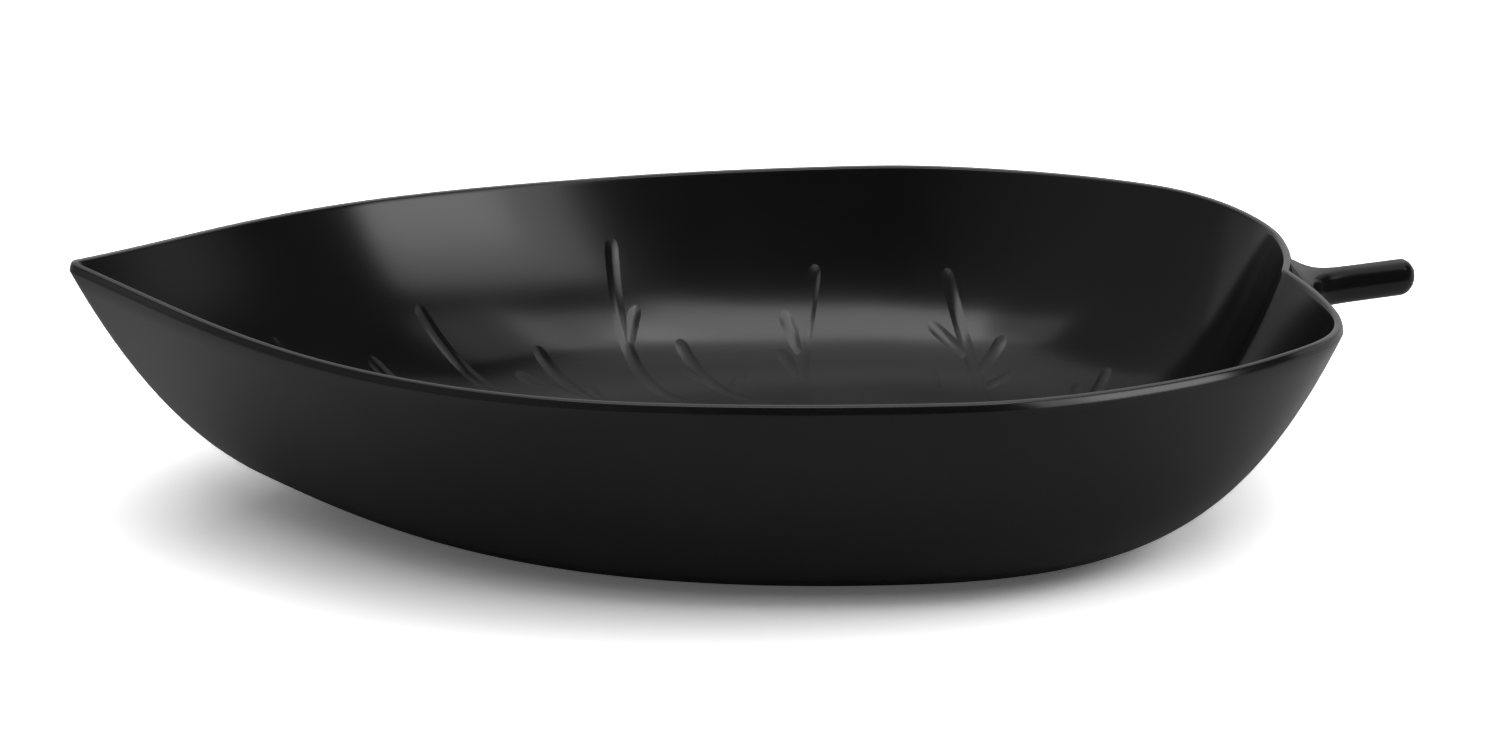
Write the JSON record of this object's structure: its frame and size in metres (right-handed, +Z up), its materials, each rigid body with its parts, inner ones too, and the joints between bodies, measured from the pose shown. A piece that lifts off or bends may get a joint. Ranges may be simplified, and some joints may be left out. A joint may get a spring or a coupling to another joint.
{
  "type": "leaf-shaped bowl",
  "caption": "Low leaf-shaped serving bowl in satin black, pointed at one end, with a short stem handle between two lobes, raised leaf veins inside and a low foot ring.",
  "frame": {"origin": "on the table plane, under the middle of the overall length and width", "axes": "+X from the leaf's tip towards the stem, +Z up out of the bowl, +Y to the bowl's right half"},
  "size_m": [0.33, 0.195, 0.0645],
  "materials": {
    "bowl_satin_black": "satin black with a very fine grain, smoother inside than outside",
    "stem_gloss_black": "semi-gloss black",
    "foot_matte_black": "matte black, slightly worn tread"
  },
  "bodies": {
    "root": {"bowl_shell": "bowl_satin_black", "foot_ring": "foot_matte_black", "stem_handle": "stem_gloss_black", "midrib": "bowl_satin_black", "left_vein_1": "bowl_satin_black", "left_vein_2": "bowl_satin_black", "left_vein_3": "bowl_satin_black", "left_vein_4": "bowl_satin_black", "left_vein_5": "bowl_satin_black", "left_vein_6": "bowl_satin_black", "left_vein_7": "bowl_satin_black", "left_vein_8": "bowl_satin_black", "left_vein_9": "bowl_satin_black", "left_vein_10": "bowl_satin_black", "right_vein_1": "bowl_satin_black", "right_vein_2": "bowl_satin_black", "right_vein_3": "bowl_satin_black", "right_vein_4": "bowl_satin_black", "right_vein_5": "bowl_satin_black", "right_vein_6": "bowl_satin_black", "right_vein_7": "bowl_satin_black", "right_vein_8": "bowl_satin_black", "right_vein_9": "bowl_satin_black", "right_vein_10": "bowl_satin_black"}
  },
  "joints": []
}
